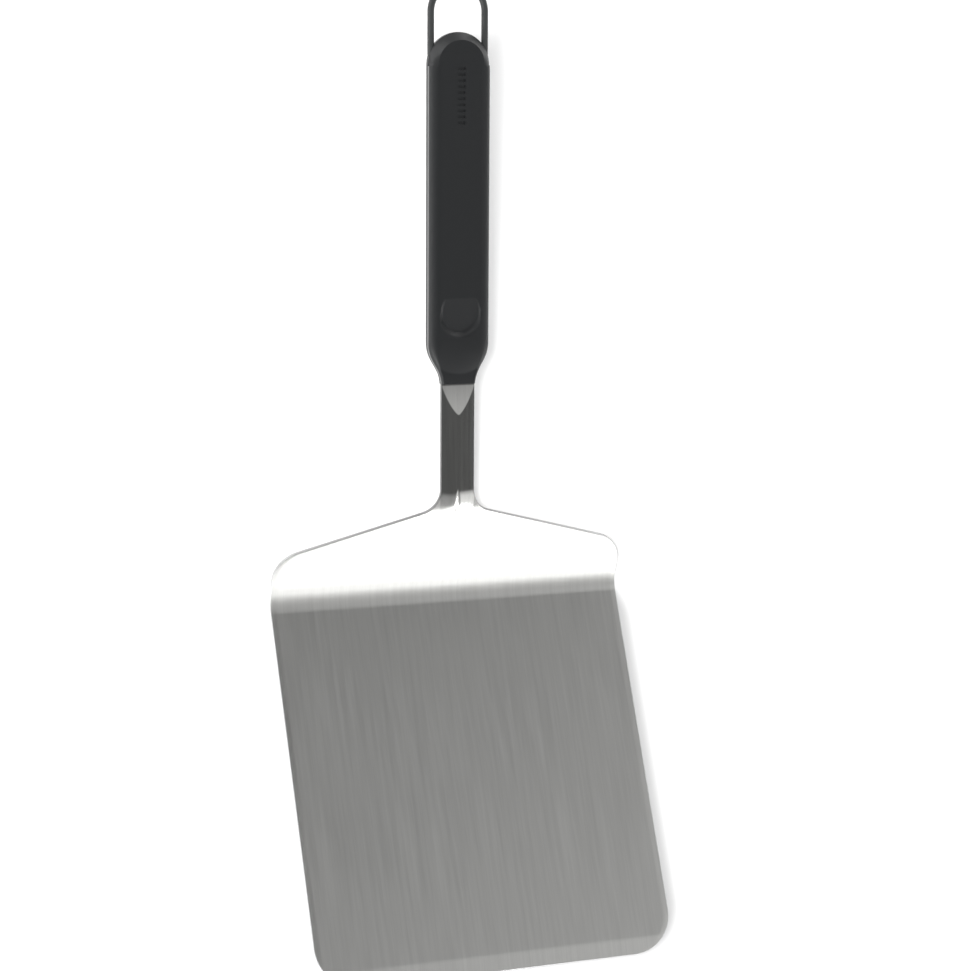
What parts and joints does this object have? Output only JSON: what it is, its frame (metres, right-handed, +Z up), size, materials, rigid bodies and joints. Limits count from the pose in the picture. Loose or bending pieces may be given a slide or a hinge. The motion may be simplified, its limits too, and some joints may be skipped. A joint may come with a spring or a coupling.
{
  "type": "grill spatula",
  "caption": "Wide long-handled turner: flat steel blade with rounded corners, raised shoulder and narrow neck, matte handle with thumb rest, and a fixed wire hanging loop.",
  "frame": {"origin": "centre of the flat underside of the blade", "axes": "+Z up with the blade lying flat, +Y from the blade towards the handle, +X across the tool to the right"},
  "size_m": [0.178, 0.4418, 0.1501],
  "materials": {
    "blade_steel": "fine lengthwise brush lines",
    "handle_moulding": "matte charcoal",
    "loop_coating": "satin black coating",
    "insert_brass": "plain machined",
    "screw_steel": "zinc plated"
  },
  "bodies": {
    "root": {"blade": "blade_steel", "front_shell": "handle_moulding", "back_shell": "handle_moulding", "hanging_loop": "loop_coating", "insert_1": "insert_brass", "screw_1": "screw_steel", "plug_1": "handle_moulding", "insert_2": "insert_brass", "screw_2": "screw_steel", "plug_2": "handle_moulding", "insert_3": "insert_brass", "screw_3": "screw_steel", "plug_3": "handle_moulding"}
  },
  "joints": []
}
